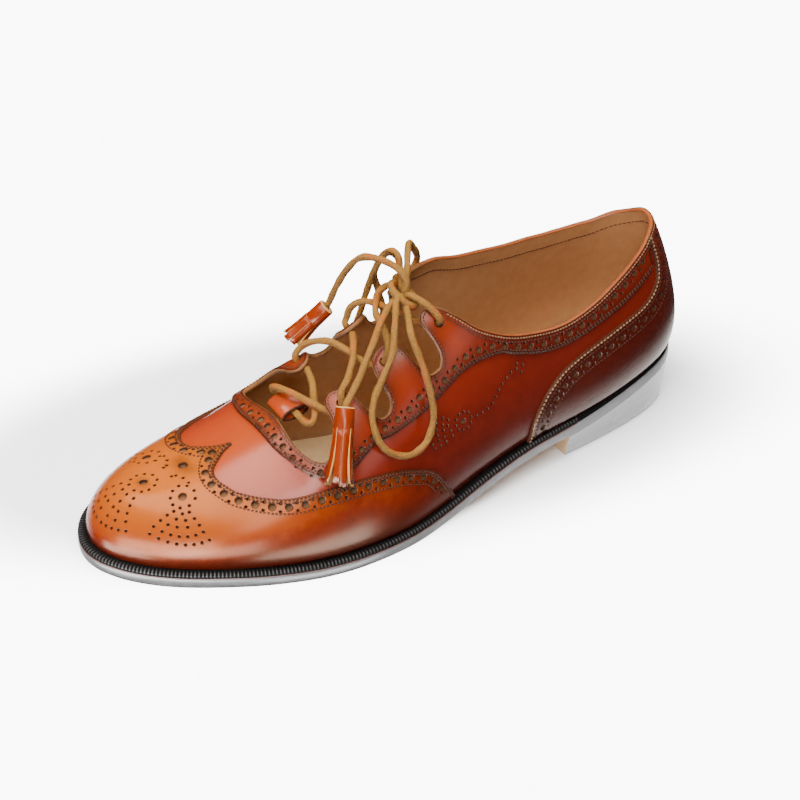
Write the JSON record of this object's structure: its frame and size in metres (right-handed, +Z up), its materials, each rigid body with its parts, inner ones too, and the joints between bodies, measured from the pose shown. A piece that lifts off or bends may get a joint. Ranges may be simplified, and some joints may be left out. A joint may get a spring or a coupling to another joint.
{
  "type": "ghillie shoe",
  "caption": "Left leather ghillie shoe with wing cap, scalloped throat tabs, welted sole, block heel and a tied lace with tassels.",
  "frame": {"origin": "on the floor under the middle of the shoe's box, without the free laces", "axes": "+X to the toe, +Y to the outer side, +Z up"},
  "size_m": [0.307, 0.104, 0.1208],
  "materials": {
    "outsole": "dark burnished edge",
    "heel_stack": "dark stacked lifts",
    "heel_top_piece": "matt",
    "welt": "ribbed, black",
    "insole": "natural",
    "upper": "polished tan",
    "wing_cap": "polished amber tan",
    "facing": "polished tan",
    "heel_counter": "polished red tan",
    "front_lace_loop": "polished tan",
    "lace": "raw golden leather",
    "tassel": "tan with cream cut edges"
  },
  "bodies": {
    "root": {"outsole": "outsole", "heel_stack": "heel_stack", "heel_top_piece": "heel_top_piece", "welt": "welt", "insole": "insole", "upper": "upper", "wing_cap": "wing_cap", "facing": "facing", "heel_counter": "heel_counter", "front_lace_loop": "front_lace_loop", "lace_crossings": "lace", "lace_knot": "lace", "bow_loop_outer": "lace", "bow_loop_inner": "lace", "lace_end_outer": "lace", "lace_end_inner": "lace", "tassel_outer": "tassel", "tassel_inner": "tassel"}
  },
  "joints": []
}
